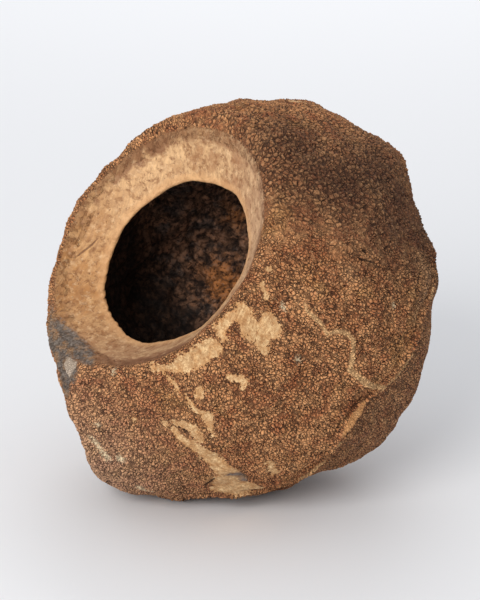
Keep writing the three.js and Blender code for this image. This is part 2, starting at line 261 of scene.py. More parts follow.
LEDGE = [
    [(341.5, 94.6, 1), (338.3, 93.9, 2.2), (334.9, 94, 3), (332, 95.2, 1.6), (330.5, 96, 0.8)],
]
LEDGE_SOFT = 0.7
WORN = [
    [(26, 94, 3.5), (24, 98, 4), (17, 99, 3.5), (11, 98, 2.5)],
    [(11.5, 66.2, 1.6), (11.5, 66.6, 1.6)],
]
WORN_SOFT = 5
# Painted shade: strokes over the upper right of the body, the side turned from the key, where the bark is
# painted darker
PAINTED_SHADE = [
    [(53, 53, 12), (44, 57, 14), (39, 64, 14), (52, 83, 16), (44, 87.5, 16)],
    [(30, 78, 10), (40, 100, 16)],
]
PAINTED_SHADE_SOFT = 26

# The crack across the lip: around, share across from the rim, half width
SPLIT = [(196, 0.32, 0.2), (191.5, 0.44, 0.45), (186, 0.58, 0.45), (181.5, 0.64, 0.2)]
SPLIT_SOFT = 0.5

# Scuffs on the sides that the photograph doesn't show
SCUFFS = 16
SCUFF_SEED = 11


def direction(around, down):
    a = np.radians(around)
    d = np.radians(down)
    return np.stack([np.sin(d) * np.cos(a), np.sin(d) * np.sin(a), np.cos(d) * np.ones_like(a)], axis=-1)


def smooth(t):
    t = np.clip(t, 0, 1)
    return t * t * (3 - 2 * t)


def turn(a, b):
    """The signed difference of two bearings, between -180 and 180"""
    return (a - b + 180) % 360 - 180


def bell(x, spread):
    return np.exp(-((x / spread) ** 2))


def bell_on_ball(u, around, down, spread):
    nearness = u @ direction(np.float64(around), np.float64(down))
    return np.exp(-(1 - nearness) / (1 - math.cos(math.radians(spread))))


def length(p):
    return np.linalg.norm(p, axis=-1)


def around_of(p):
    return np.degrees(np.arctan2(p[..., 1], p[..., 0]))


def down_of(p):
    return np.degrees(np.arccos(np.clip(p[..., 2] / length(p), -1, 1)))


def relief(p, layers):
    total = np.zeros(p.shape[:-1])
    for wavelength, height, seed in layers:
        for k in range(WAVES):
            z = 1 - (2 * k + 1) / WAVES
            ring = math.sqrt(1 - z * z)
            a = k * GOLDEN_ANGLE + seed * 40
            along = p @ np.array([ring * math.cos(a), ring * math.sin(a), z])
            stretch = 0.8 + 0.4 * ((k * 0.618 + seed) % 1)
            phase = (k * 0.755 + seed) % 1
            wave = np.sin(2 * math.pi * (along / (wavelength * stretch) + phase))
            total += height * wave / math.sqrt(WAVES / 2)
    return total


def ring_down(around):
    down = RING_DOWN + np.zeros_like(around)
    for middle, depth, spread in RING_DIPS:
        down += depth * bell(turn(around, middle), spread)
    return down


def ring_relief(around, down):
    across = down - ring_down(around)
    even = RIDGE_EVEN + RIDGE_VARIES * np.sin(np.radians(RIDGE_WAVES * around + RIDGE_PHASE))
    ledge = even + LEDGE_GAIN * bell(turn(around, LEDGE_AROUND), LEDGE_SPREAD)
    ridge = ledge * RIDGE_HEIGHT * bell(across, RIDGE_WIDTH)
    groove = ledge * GROOVE_DEPTH * bell(across - GROOVE_OFFSET, GROOVE_WIDTH)
    step = BASE_STEP * smooth(across) * (1 - smooth(across / BASE_STEP_FADE))
    return ridge - groove - step


def lumps(u):
    total = np.zeros(u.shape[:-1])
    for around, down, height, spread in LUMPS:
        total += height * bell_on_ball(u, around, down, spread)
    return total


def body_radius(u, down):
    base_drop = BASE_DROP * smooth((down - BASE_DROP_DOWN) / BASE_DROP_FADE)
    shoulder = SHOULDER_RISE * bell(down - SHOULDER_DOWN, SHOULDER_SPREAD)
    ball = BODY_RADIUS - base_drop + shoulder + lumps(u)
    inverse = ball ** -float(FACET_SHARPNESS)
    for around, facet_down, distance in FACETS:
        facing = np.maximum(u @ direction(np.float64(around), np.float64(facet_down)), 0.001)
        inverse += (facing / distance) ** FACET_SHARPNESS
    return inverse ** (-1 / FACET_SHARPNESS)


def stalk_scar(from_pole):
    rim = STALK_RIM * bell(from_pole - STALK_RADIUS, STALK_RIM_WIDTH)
    pit = STALK_PIT * (1 - smooth((from_pole - STALK_RADIUS * PIT_FLOOR) / (STALK_RADIUS * PIT_SIDE)))
    return rim - pit


def bark_point(around, down):
    """The body's own surface, with its ring, its stalk scar and the flat spot that it rests on"""
    u = direction(around, down)
    r = body_radius(u, down)
    from_pole = r * np.sin(np.radians(down))
    r = r + ring_relief(around, down)
    r += relief(u * r[..., None], BARK_RELIEF)
    r += np.where(down > 90, stalk_scar(from_pole), 0)
    tilt = math.radians(MOUTH_TILT)
    facing = u @ np.array([0, -math.cos(tilt), -math.sin(tilt)])
    r = np.where(facing > 0.3, np.minimum(r, REST_HEIGHT / np.maximum(facing, 0.3)), r)
    return u * r[..., None]


def circle_point(around, radius, height, shift, shift_around):
    a = np.radians(around)
    s = math.radians(shift_around)
    x = radius * np.cos(a) + shift * math.cos(s)
    y = radius * np.sin(a) + shift * math.sin(s)
    return np.stack([x, y, height + np.zeros_like(x)], axis=-1)


def rim_corner(around):
    height = RIM_HEIGHT + RIM_LEAN * np.cos(np.radians(around - RIM_LEAN_AROUND))
    return circle_point(around, RIM_RADIUS, height, RIM_SHIFT, RIM_SHIFT_AROUND)


def mouth_edge(around):
    fine = np.sin(np.radians(MOUTH_FINE_WAVES * around + MOUTH_FINE_PHASE))
    ragged = MOUTH_RAGGED * (np.sin(np.radians(MOUTH_WAVES * around)) + MOUTH_FINE_SHARE * fine)
    fine_chips = np.sin(np.radians(CHIP_FINE_WAVES * around + CHIP_FINE_PHASE))
    chips = np.sin(np.radians(CHIP_WAVES * around)) + fine_chips
    ragged += MOUTH_CHIPPED * chips * (CHIPPED_LEAST + bell(turn(around, CHIPPED_AROUND), CHIPPED_SPREAD))
    return circle_point(around, MOUTH_RADIUS + ragged, MOUTH_HEIGHT, MOUTH_SHIFT, MOUTH_SHIFT_AROUND)


def lip_point(around, t):
    corner = rim_corner(around)
    p = corner + (mouth_edge(around) - corner) * t[..., None]
    p[..., 2] -= LIP_SAG * np.sin(math.pi * t)
    strength = np.minimum(1, t * LIP_RELIEF_RISE + LIP_RELIEF_START)
    p[..., 2] += relief(p, LIP_RELIEF) * np.sin(math.pi * strength)
    return p


def lip_length(around):
    return length(rim_corner(around) - mouth_edge(around))


def crest_start(around):
    corner = rim_corner(around)
    return around_of(corner), down_of(corner) + np.degrees(RIM_ROUNDING / length(corner))


def crest_point(around, t):
    """The rounded crest of the rim, from the bark at 0 to the bevel at 1"""
    start = bark_point(*crest_start(around))
    end = lip_point(around, RIM_ROUNDING / lip_length(around))
    t = t[..., None]
    return start * (1 - t) ** 2 + rim_corner(around) * 2 * t * (1 - t) + end * t * t


def outside_point(around, s):
    """The outside from the base pole at 0 to the crest at 1, and over the crest past 1"""
    corner_around, start_down = crest_start(around)
    climb = np.minimum(s, 1)
    bearing = around + turn(corner_around, around) * smooth(climb)
    p = bark_point(bearing, 180 + (start_down - 180) * climb)
    past = s > 1
    if past.any():
        p[past] = crest_point(around[past], s[past] - 1)
    return p


def edge_below(around):
    edge = mouth_edge(around)
    edge[..., 2] -= EDGE_THICKNESS
    return edge


def hollow_point(around, down):
    u = direction(around, down)
    edge = edge_below(around)
    opening = smooth((down - down_of(edge)) / (HOLLOW_FULL_DOWN - down_of(edge)))
    base_rise = HOLLOW_BASE_RISE * smooth((down - HOLLOW_BASE_DOWN) / HOLLOW_BASE_FADE)
    full = HOLLOW_RADIUS - base_rise + HOLLOW_FOLLOWS * lumps(u)
    rough = relief(u * full[..., None], HOLLOW_RELIEF)
    r = length(edge) + (full + rough - length(edge)) * opening
    return u * r[..., None]


def turned_to_row(p):
    """A direction in the pod's frame as a direction in the row's frame"""
    tilt = math.radians(MOUTH_TILT)
    y = p[..., 1] * math.sin(tilt) - p[..., 2] * math.cos(tilt)
    z = p[..., 1] * math.cos(tilt) + p[..., 2] * math.sin(tilt)
    return np.stack([p[..., 0], y, z], axis=-1)


def to_row(p):
    return (turned_to_row(p) + CENTRE) * MM


def stroke_nearness(p, corners, half_widths, soft):
    most = np.zeros(p.shape[:-1])
    for k in range(len(corners) - 1):
        run = corners[k + 1] - corners[k]
        t = np.clip((p - corners[k]) @ run / (run @ run), 0, 1)
        away = length(p - corners[k] - t[..., None] * run)
        half_width = half_widths[k] + (half_widths[k + 1] - half_widths[k]) * t
        most = np.maximum(most, 0.5 + (half_width - away) / (2 * soft))
    return np.clip(most, 0, 1)


def nearness(p, strokes, soft):
    """How near places are to strokes drawn on the bark: 0.5 at a stroke's edge, and 1 well inside it"""
    most = np.zeros(p.shape[:-1])
    for stroke in strokes:
        around, down, half_widths = np.array(stroke, float).T
        most = np.maximum(most, stroke_nearness(p, bark_point(around, down), half_widths, soft))
    return most


def lip_nearness(p, stroke, soft):
    around, across, half_widths = np.array(stroke, float).T
    return stroke_nearness(p, lip_point(around, across), half_widths, soft)


def scuff_strokes():
    draw = np.random.default_rng(SCUFF_SEED)
    strokes = []
    for _ in range(SCUFFS):
        around = draw.uniform(85, 225)
        down = draw.uniform(52, 160)
        bend = draw.uniform(-5, 5)
        long = draw.uniform(1.5, 6)
        wide = draw.uniform(0.8, 2.2)
        strokes.append([(around, down, wide), (around + bend, down + long, wide * 0.7)])
    return strokes


class Weave:
    """Gathers the points and triangles of one closed piece"""

    def __init__(self):
        self.points = []
        self.triangles = []
        self.even = []
        self.count = 0

    def row(self, points):
        start = self.count
        self.points.append(points)
        self.count += len(points)
        return np.arange(start, self.count)

    def stitch(self, a, along_a, b, along_b, flip=False, even=True):
        """Joins two rows by stepping along whichever is behind. Faces along the rows crossed with a to b."""
        ends = np.concatenate([along_a[1:], along_b[1:]])
        on_b = np.concatenate([np.zeros(len(a) - 1, bool), np.ones(len(b) - 1, bool)])
        on_b = on_b[np.argsort(ends, kind="stable")]
        i = np.cumsum(~on_b) - ~on_b
        j = np.cumsum(on_b) - on_b
        middle = np.where(on_b, b[np.minimum(j + 1, len(b) - 1)], a[np.minimum(i + 1, len(a) - 1)])
        triangles = np.stack([a[i], middle, b[j]], axis=1)
        self.triangles.append(triangles[:, ::-1] if flip else triangles)
        self.even.append(np.full(len(triangles), even))


def make_piece(name, weave, marks):
    mesh = bpy.data.meshes.new(name)
    points = to_row(np.concatenate(weave.points))
    mesh.from_pydata(points, [], np.concatenate(weave.triangles))
    mesh.polygons.foreach_set("use_smooth", np.concatenate(weave.even))
    for mark, values in marks.items():
        if values.ndim == 2:
            layer = mesh.attributes.new(mark, "FLOAT_VECTOR", "POINT")
            layer.data.foreach_set("vector", values.astype(np.float32).ravel())
        else:
            layer = mesh.attributes.new(mark, "FLOAT", "POINT")
            layer.data.foreach_set("value", values.astype(np.float32))
    piece = bpy.data.objects.new(name, mesh)
    bpy.context.scene.collection.objects.link(piece)
    return piece


def lip_marks(p):
    """How the lip's colour changes round the rim, and its crack"""
    around = around_of(p)
    grey = nearness(p, WEATHERED, WEATHERED_SOFT)
    stained = 0.4 + 0.6 * bell(turn(around, 132), 32) + 0.7 * bell(turn(around, 312), 52)
    return {
        "weathered": np.maximum(grey, lip_nearness(p, WEATHERED_LIP, WEATHERED_SOFT)),
        "beige": nearness(p, BEIGE, BEIGE_SOFT),
        "orange": np.clip(bell(turn(around, 215), 50) + 0.5 * bell(turn(around, 150), 30), 0, 1),
        # Painted light: the far side of the lip, which faces the key, is painted brighter
        "bright": bell(turn(around, 138), 38),
        "pinkish": bell(turn(around, 20), 55),
        "shaded": bell(turn(around, 282), 42),
        "stained": np.clip(stained, 0, 1),
        "hidden": bell(turn(around, 310), 46),
        "split": lip_nearness(p, SPLIT, SPLIT_SOFT),
    }


def bark_marks(p, s):
    """What the bark is like at its places, for the relief and the colours"""
    around = around_of(p)
    down = down_of(p)
    over = np.where(s > 1, (s - 1) * CREST_LENGTH, (s - 1) * BODY_RADIUS * math.radians(CREST_FROM_BASE))
    lip_edge = 6.5 + 4 * bell(turn(around, 330), 60)
    u = p / length(p)[:, None]
    return {
        "bare": nearness(p, BARE + scuff_strokes(), BARE_SOFT),
        "chalk": nearness(p, CHALK, CHALK_SOFT),
        "cleft": nearness(p, CLEFTS, CLEFT_SOFT),
        "scar": nearness(p, SCARS, SCAR_SOFT),
        "ledge": nearness(p, LEDGE, LEDGE_SOFT),
        "worn": nearness(p, WORN, WORN_SOFT),
        # Painted shade on the upper right of the body
        "dusk": nearness(p, PAINTED_SHADE, PAINTED_SHADE_SOFT),
        "base": smooth((down - ring_down(around) - 0.5) / 3),
        "stalk": bell(length(p[:, :2]), STALK_RADIUS) * (down > 90),
        "low_left": bell_on_ball(u, 255, 78, 26),
        "coarse": bell_on_ball(u, 60, 60, 42),
        "lipness": np.clip((over - lip_edge) / 5 + 0.5, 0, 1),
        "across": np.maximum(0.3 * (over / CREST_LENGTH - 1), -1),
    }


def quarter_rows(edge, first, last):
    """The places of a quarter's rows: how far each is up the outside, and how many points it has"""
    count = round(CLIMB / (edge * ROW_SHARE))
    over = max(1, round(RIM_ROUNDING * 1.8 * (BARK_END - 1) / (edge * ROW_SHARE)))
    places = np.concatenate([np.linspace(0, 1, count + 1), np.linspace(1, BARK_END, over + 1)[1:]])
    rows = []
    for s in places:
        down = 180 - CREST_FROM_BASE * min(s, 1)
        radius = BODY_RADIUS * math.sin(math.radians(down))
        points = round(radius * math.radians(last - first) / edge)
        rows.append((s, 1 if s == 0 else max(2, points + 1)))
    return rows


def weave_quarter(first, last):
    weave = Weave()
    sides = {}
    for layer, edge in (("top", BARK_EDGE), ("back", BARK_BACK_EDGE)):
        left = []
        right = []
        before = None
        rows = quarter_rows(edge, first, last)
        alongs = [np.linspace(0, 1, count) for _, count in rows]
        around = np.concatenate([first + (last - first) * along for along in alongs])
        s = np.concatenate([np.full(count, place) for place, count in rows])
        p = outside_point(around, s)
        if layer == "top":
            top = s
        else:
            p *= (1 - BARK_THICKNESS / length(p))[:, None]
        done = 0
        for along in alongs:
            here = weave.row(p[done:done + len(along)])
            done += len(along)
            if before is not None:
                weave.stitch(*before, here, along, flip=layer == "back", even=layer == "top")
            before = (here, along)
            left.append(here[0])
            right.append(here[-1])
        places = np.array([place for place, _ in rows]) / BARK_END
        sides[layer] = (np.array(left), np.array(right), places, here, along)
    top_left, top_right, top_places, top_row, top_along = sides["top"]
    back_left, back_right, back_places, back_row, back_along = sides["back"]
    weave.stitch(back_right, back_places, top_right, top_places, even=False)
    weave.stitch(back_left, back_places, top_left, top_places, flip=True, even=False)
    weave.stitch(top_row, top_along, back_row, back_along, even=False)
    return weave, np.concatenate([top, s])


def make_bark_quarter(number, first):
    weave, s = weave_quarter(first, first + 90)
    p = np.concatenate(weave.points)
    marks = {**bark_marks(p, s), **lip_marks(p)}
    top_count = sum(count for _, count in quarter_rows(BARK_EDGE, first, first + 90))
    marks["top"] = (np.arange(len(p)) < top_count).astype(float)
    marks["pod_place"] = p
    marks["outward"] = turned_to_row(p / length(p)[:, None])
    return make_piece(f"cork_bark_{number}", weave, marks)


def weave_wood():
    """The closed shell under the bark: hidden outside, crest, lip, blunt edge and hollow"""
    weave = Weave()
    kinds = {"across": [], "hollow": []}
    state = {"before": None}

    def add(radius, edge, at, across, hollow):
        count = max(8, round(2 * math.pi * radius / edge))
        along = np.linspace(0, 1, count + 1)
        here = weave.row(at(along[:-1] * 360))
        here = np.append(here, here[0])
        kinds["across"].append(np.full(count, across))
        kinds["hollow"].append(np.full(count, hollow))
        if state["before"] is not None:
            weave.stitch(*state["before"], here, along)
        state["before"] = (here, along)

    def pole(p, along_all):
        here = weave.row(p[None, :])
        kinds["across"].append(np.zeros(1))
        kinds["hollow"].append(np.ones(1))
        return here, along_all

    def sunk(around, s):
        p = outside_point(around, np.full_like(around, s))
        sink = WOOD_UNDER_BARK * min(1, 2 - s)
        return p * (1 - sink / length(p))[:, None]

    base = sunk(np.zeros(1), 0.0)
    state["before"] = pole(base[0], np.zeros(1))
    count = round(CLIMB / (WOOD_HIDDEN_EDGE * ROW_SHARE))
    for s in np.linspace(0, 1, count + 1)[1:-1]:
        radius = BODY_RADIUS * math.sin(math.radians(180 - CREST_FROM_BASE * s))
        add(radius, WOOD_HIDDEN_EDGE, lambda around, s=s: sunk(around, s), 0, 0)
    for s in (0.985, 1):
        add(RIM_RADIUS, 2.5 if s < 1 else 1.2, lambda around, s=s: sunk(around, s), 0, 0)
    crest_rows = round(RIM_ROUNDING * 1.9 / (LIP_EDGE * ROW_SHARE))
    for t in np.linspace(0, 1, crest_rows + 1)[1:]:
        add(RIM_RADIUS, LIP_EDGE, lambda around, t=t: sunk(around, 1 + t), 0.3 * (t - 1), 0)
    bevel = lip_length(np.zeros(1))[0]
    lip_rows = round((bevel - RIM_ROUNDING) / (LIP_EDGE * ROW_SHARE))
    for k in range(1, lip_rows + 1):
        def at(around, k=k):
            start = RIM_ROUNDING / lip_length(around)
            return lip_point(around, start + (1 - start) * k / lip_rows)
        radius = RIM_RADIUS + (MOUTH_RADIUS - RIM_RADIUS) * k / lip_rows
        add(radius, LIP_EDGE, at, k / lip_rows, 0)
    for t in (0.3, 0.6):
        def at(around, t=t):
            edge = mouth_edge(around)
            edge[:, 2] -= EDGE_THICKNESS * t
            edge[:, :2] *= (1 - EDGE_BULGE * math.sin(math.pi * t) / length(edge[:, :2]))[:, None]
            return edge
        add(MOUTH_RADIUS, LIP_EDGE, at, 1 + t * 0.1, t * 0.5)
    step = math.degrees(HOLLOW_EDGE * ROW_SHARE / HOLLOW_RADIUS)
    edge_down = down_of(edge_below(np.zeros(1)))[0]
    count = round((180 - edge_down) / step)
    for k in range(count):
        t = k / count
        def at(around, t=t):
            down = down_of(edge_below(around))
            return hollow_point(around, down + (180 - down) * t)
        down = edge_down + (180 - edge_down) * t
        edge = LIP_EDGE + (HOLLOW_EDGE - LIP_EDGE) * float(smooth(t * 8))
        radius = HOLLOW_RADIUS * math.sin(math.radians(down))
        add(radius, edge, at, 1.1 + 0.4 * t, 0.5 + 0.5 * float(smooth(t * 16)))
    deep = hollow_point(np.zeros(1), np.full(1, 180.0))
    here, along = pole(deep[0], np.zeros(1))
    weave.stitch(*state["before"], here, along)
    return weave, {name: np.concatenate(values) for name, values in kinds.items()}


def make_wood():
    weave, marks = weave_wood()
    p = np.concatenate(weave.points)
    marks.update(lip_marks(p))
    u = p / length(p)[:, None]
    rusty = bell_on_ball(u, 166, 127, 12) + 0.7 * bell_on_ball(u, 139, 112, 9)
    marks["rusty"] = np.clip(rusty + 0.4 * bell_on_ball(u, 95, 100, 24), 0, 1)
    # Painted shade: the left and middle of what is seen of the hollow, out of the key's light, are painted
    # near black
    marks["sooty"] = smooth((turn(around_of(p), 166) + 0.5 * (112 - down_of(p))) / 24)
    marks["pod_place"] = p
    return make_piece("pod_wood", weave, marks)


# Node trees

def tone(red, green, blue):
    """A linear colour from the numbers that a paint program shows"""
    values = [v / 255 for v in (red, green, blue)]
    return tuple(v / 12.92 if v <= 0.04045 else ((v + 0.055) / 1.055) ** 2.4 for v in values) + (1.0,)


class Nodes:
    """Adds nodes to a tree. An input is a value or another node's output."""

    def __init__(self, tree):
        self.tree = tree

    def add(self, kind, inputs=None, **settings):
        node = self.tree.nodes.new(kind)
        for name, value in settings.items():
            setattr(node, name, value)
        for key, value in (inputs or {}).items():
            self.feed(node.inputs[key], value)
        return node

    def feed(self, socket, value):
        if isinstance(value, bpy.types.NodeSocket):
            self.tree.links.new(value, socket)
        else:
            socket.default_value = value

    def math(self, operation, *values):
        return self.add("ShaderNodeMath", dict(enumerate(values)), operation=operation).outputs[0]

    def times(self, a, b):
        return self.math("MULTIPLY", a, b)

    def roughen(self, value, noise, reach):
        """A value made uneven by a noise, which is 0.5 on average"""
        return self.math("MULTIPLY_ADD", self.math("SUBTRACT", noise, 0.5), reach, value)

    def vector(self, operation, *values):
        return self.add("ShaderNodeVectorMath", dict(enumerate(values)), operation=operation).outputs[0]

    def step(self, value, low, high, to_low=0.0, to_high=1.0):
        inputs = {"Value": value, "From Min": low, "From Max": high, "To Min": to_low, "To Max": to_high}
        return self.add("ShaderNodeMapRange", inputs, interpolation_type="SMOOTHSTEP").outputs[0]

    def noise(self, place, size, detail=2.0, rough=0.5, output="Fac"):
        inputs = {"Vector": place, "Scale": 1 / size, "Detail": detail, "Roughness": rough}
        return self.add("ShaderNodeTexNoise", inputs).outputs[output]

    def bend(self, bent, reach, place, size, detail, rough=0.5):
        """Places shifted to and fro by a noise, so that what is drawn on them wanders"""
        shift = self.vector("SUBTRACT", self.noise(place, size, detail, rough, "Color"), (0.5, 0.5, 0.5))
        return self.vector("MULTIPLY_ADD", shift, (reach,) * 3, bent)

    def cells(self, place, scale, feature, output):
        inputs = {"Vector": place, "Scale": scale}
        return self.add("ShaderNodeTexVoronoi", inputs, feature=feature).outputs[output]

    def blend(self, amount, a, b):
        inputs = {0: amount, 6: a, 7: b}
        return self.add("ShaderNodeMix", inputs, data_type="RGBA").outputs[2]

    def tint(self, colour, mask, share, *paint):
        """Covers a colour with a share of a paint where the mask is"""
        return self.blend(self.times(mask, share), colour, tone(*paint))

    def cover(self, colour, value, low, high, share, *paint):
        """Covers a colour with a share of a paint as a value goes from low to high"""
        return self.blend(self.step(value, low, high, 0.0, share), colour, tone(*paint))

    def between(self, amount, a, b):
        return self.add("ShaderNodeMix", {0: amount, 2: a, 3: b}, data_type="FLOAT").outputs[0]


# Cork bark: sizes in millimetres
GRANULE_SIZE = 2.2
FINE_SHARE = 0.6
GRANULE_STRETCH = 0.75
CRACK_WANDER = 2.4
WANDER_SIZE = 4.0
CURL = 0.8
CURL_SIZE = 1.3
CRACK_WIDTH = 0.19
FISSURE_SIZE = 5.0
FISSURE_WIDTH = 0.022
CRACK_DEPTH = 0.85
PEEL_DEPTH = 1.0


def cork_pattern(nodes, place, mark, scale):
    """Cracks, granules and torn edges of cork bark, the same in the relief and in the colour"""
    bent = nodes.bend(place, CRACK_WANDER, place, WANDER_SIZE, 2.0)
    bent = nodes.bend(bent, CURL, place, CURL_SIZE, 1.0)
    long = nodes.vector("MULTIPLY", bent, (1.0, 1.0, GRANULE_STRETCH))
    gap = nodes.cells(long, scale, "DISTANCE_TO_EDGE", "Distance")
    granule = nodes.add("ShaderNodeSeparateXYZ", {0: nodes.cells(long, scale, "F1", "Color")}).outputs[0]
    fine_gap = nodes.cells(long, nodes.math("DIVIDE", scale, FINE_SHARE), "DISTANCE_TO_EDGE", "Distance")
    coarse = nodes.roughen(mark("coarse"), nodes.noise(place, 7.0, 3.0, 0.6), 1.2)
    strength = nodes.step(nodes.noise(place, 2.4, 3.0, 0.6), 0.36, 0.6, 0.55, 1.0)
    wide = nodes.times(nodes.step(gap, 0.04, CRACK_WIDTH, 1.0, 0.0), nodes.step(coarse, 0.3, 0.7))
    fine = nodes.step(fine_gap, 0.03, 0.16, 1.0, 0.0)
    fine = nodes.times(fine, nodes.step(coarse, 0.7, 0.3, 0.25, 1.0))
    crack = nodes.times(nodes.math("MAXIMUM", wide, fine), strength)
    fissure = nodes.math("ABSOLUTE", nodes.math("SUBTRACT", nodes.noise(long, FISSURE_SIZE), 0.5))
    crack = nodes.math("MAXIMUM", crack, nodes.step(fissure, 0.004, FISSURE_WIDTH, 0.8, 0.0))
    crumb = nodes.noise(place, 1.0, 3.0, 0.6)
    clump = nodes.noise(place, 2.6)
    torn = nodes.roughen(mark("bare"), clump, 1.1)
    torn = nodes.roughen(torn, crumb, 1.5)
    return crack, granule, crumb, torn


def lip_edge_mask(nodes, lipness, crumb):
    """Where the bark has given way to the lip's bare wood, with an uneven edge"""
    uneven = nodes.roughen(lipness, crumb, 0.9)
    return nodes.times(nodes.step(uneven, 0.3, 0.7), nodes.step(lipness, 0.0, 0.2))


def start_relief(tree_name, *values):
    """A tree for a mesh, a material and some values, and a way to read the mesh's marks"""
    tree = bpy.data.node_groups.new(tree_name, "GeometryNodeTree")
    sockets = [("Geometry", "Geometry"), *((value, "Float") for value in values), ("Material", "Material")]
    for label, kind in sockets:
        tree.interface.new_socket(label, in_out="INPUT", socket_type="NodeSocket" + kind)
    tree.interface.new_socket("Geometry", in_out="OUTPUT", socket_type="NodeSocketGeometry")
    nodes = Nodes(tree)

    def mark(name, kind="FLOAT"):
        node = nodes.add("GeometryNodeInputNamedAttribute", {"Name": name}, data_type=kind)
        return node.outputs["Attribute"]

    return tree, nodes, tree.nodes.new("NodeGroupInput").outputs, mark


def end_relief(nodes, given, height, way):
    """Moves the mesh's points by a height in millimetres, and gives it its material"""
    move = nodes.add("ShaderNodeVectorMath", {0: way}, operation="SCALE")
    nodes.feed(move.inputs["Scale"], nodes.times(height, MM))
    moved = nodes.add("GeometryNodeSetPosition", {"Geometry": given["Geometry"], "Offset": move.outputs[0]})
    whole = nodes.add("GeometryNodeRealizeInstances", {"Geometry": moved.outputs[0]})
    settings = {"Geometry": whole.outputs[0], "Material": given["Material"]}
    finished = nodes.add("GeometryNodeSetMaterial", settings)
    nodes.add("NodeGroupOutput", {0: finished.outputs[0]})


def bark_relief_tree():
    tree, nodes, given, mark = start_relief("cork crackle", "Granule size", "Crack depth", "Peel depth")
    place = mark("pod_place", "FLOAT_VECTOR")
    scale = nodes.math("DIVIDE", 1.0, given["Granule size"])
    crack, granule, crumb, torn = cork_pattern(nodes, place, mark, scale)
    peeled = nodes.step(torn, 0.46, 0.56)
    rough = nodes.math("SUBTRACT", 1.0, nodes.times(mark("base"), 0.5))
    rough = nodes.times(rough, nodes.math("SUBTRACT", 1.0, nodes.times(mark("worn"), 0.6)))
    swell = nodes.math("MULTIPLY_ADD", granule, 0.5, -0.25)
    swell = nodes.roughen(swell, crumb, 1.0)
    bark_height = nodes.math("SUBTRACT", swell, nodes.times(crack, given["Crack depth"]))
    bark_height = nodes.times(bark_height, rough)
    ripple = nodes.noise(place, 1.3)
    wood_height = nodes.math("MULTIPLY_ADD", given["Peel depth"], -1.0, nodes.times(ripple, 0.7))
    height = nodes.between(peeled, bark_height, wood_height)
    height = nodes.math("MULTIPLY_ADD", mark("scar"), SCAR_RISE, height)
    height = nodes.math("MULTIPLY_ADD", mark("ledge"), LEDGE_RISE, height)
    height = nodes.math("MULTIPLY_ADD", mark("cleft"), -1.2, height)
    lipness = lip_edge_mask(nodes, mark("lipness"), crumb)
    height = nodes.times(height, nodes.math("SUBTRACT", 1.0, lipness))
    height = nodes.times(height, mark("top"))
    end_relief(nodes, given, height, mark("outward", "FLOAT_VECTOR"))
    return tree


# The lip and the lining: sizes in millimetres
LIP_ROUGHNESS = 0.3
LUMP_HEIGHT = 6.0
CLOD_SIZE = 6.5
CLOD_WANDER = 9.0


def clod_place(nodes, place):
    return nodes.bend(place, CLOD_WANDER, place, 6.0, 3.0, 0.6)


def wood_relief_tree():
    tree, nodes, given, mark = start_relief("wood surface", "Lip roughness", "Lump height")
    place = mark("pod_place", "FLOAT_VECTOR")
    hollow = nodes.step(mark("hollow"), 0.55, 1.0)
    lump = nodes.noise(place, 11.0, 3.0, 0.62)
    clod = nodes.cells(clod_place(nodes, place), 1 / CLOD_SIZE, "F1", "Distance")
    lumps_height = nodes.math("MULTIPLY_ADD", clod, -0.4, nodes.math("SUBTRACT", lump, 0.32))
    lumps_height = nodes.times(lumps_height, nodes.times(given["Lump height"], hollow))
    fibre = nodes.noise(nodes.vector("MULTIPLY", place, (1.0, 0.5, 0.8)), 2.4, 4.0, 0.6)
    lip_height = nodes.times(nodes.math("SUBTRACT", fibre, 0.5), given["Lip roughness"])
    height = nodes.between(hollow, lip_height, lumps_height)
    height = nodes.math("MULTIPLY_ADD", mark("split"), -0.5, height)
    end_relief(nodes, given, height, nodes.add("GeometryNodeInputNormal").outputs[0])
    return tree


def apply_tree(piece, tree, values):
    """Runs a tree on a piece, and keeps the result as its plain mesh"""
    modifier = piece.modifiers.new(tree.name, "NODES")
    modifier.node_group = tree
    for item in tree.interface.items_tree:
        if item.in_out == "INPUT" and item.name in values:
            modifier[item.identifier] = values[item.name]
    graph = bpy.context.evaluated_depsgraph_get()
    mesh = bpy.data.meshes.new_from_object(piece.evaluated_get(graph))
    piece.modifiers.remove(modifier)
    old = piece.data
    piece.data = mesh
    bpy.data.meshes.remove(old)
    mesh.name = piece.name
    places = np.empty(len(mesh.vertices) * 3, np.float32)
    mesh.vertices.foreach_get("co", places)
    places[2::3] = np.maximum(places[2::3], 0)
    mesh.vertices.foreach_set("co", places)
    mesh.update()


# Materials

def shader_group(name, inputs, outputs):
    group = bpy.data.node_groups.new(name, "ShaderNodeTree")
    for label, kind, value in inputs:
        socket = group.interface.new_socket(label, in_out="INPUT", socket_type="NodeSocket" + kind)
        if value is not None:
            socket.default_value = value
    for label, kind in outputs:
        group.interface.new_socket(label, in_out="OUTPUT", socket_type="NodeSocket" + kind)
    return group


def fibre_group():
    """Fine streaks and pores of bare wood, running along the pod's y"""
    inputs = [("Place", "Vector", None)]
    outputs = [("Streak", "Float"), ("Pore", "Float")]
    group = shader_group("wood fibre", inputs, outputs)
    nodes = Nodes(group)
    place = group.nodes.new("NodeGroupInput").outputs["Place"]
    drawn = nodes.vector("MULTIPLY", place, (1.0, 0.2, 0.5))
    streak = nodes.noise(drawn, 1.1, 5.0, 0.62)
    pore = nodes.noise(nodes.vector("MULTIPLY", place, (1.0, 0.6, 1.0)), 1.3)
    ends = {"Streak": nodes.step(streak, 0.3, 0.7), "Pore": nodes.step(pore, 0.66, 0.74)}
    nodes.add("NodeGroupOutput", ends)
    return group


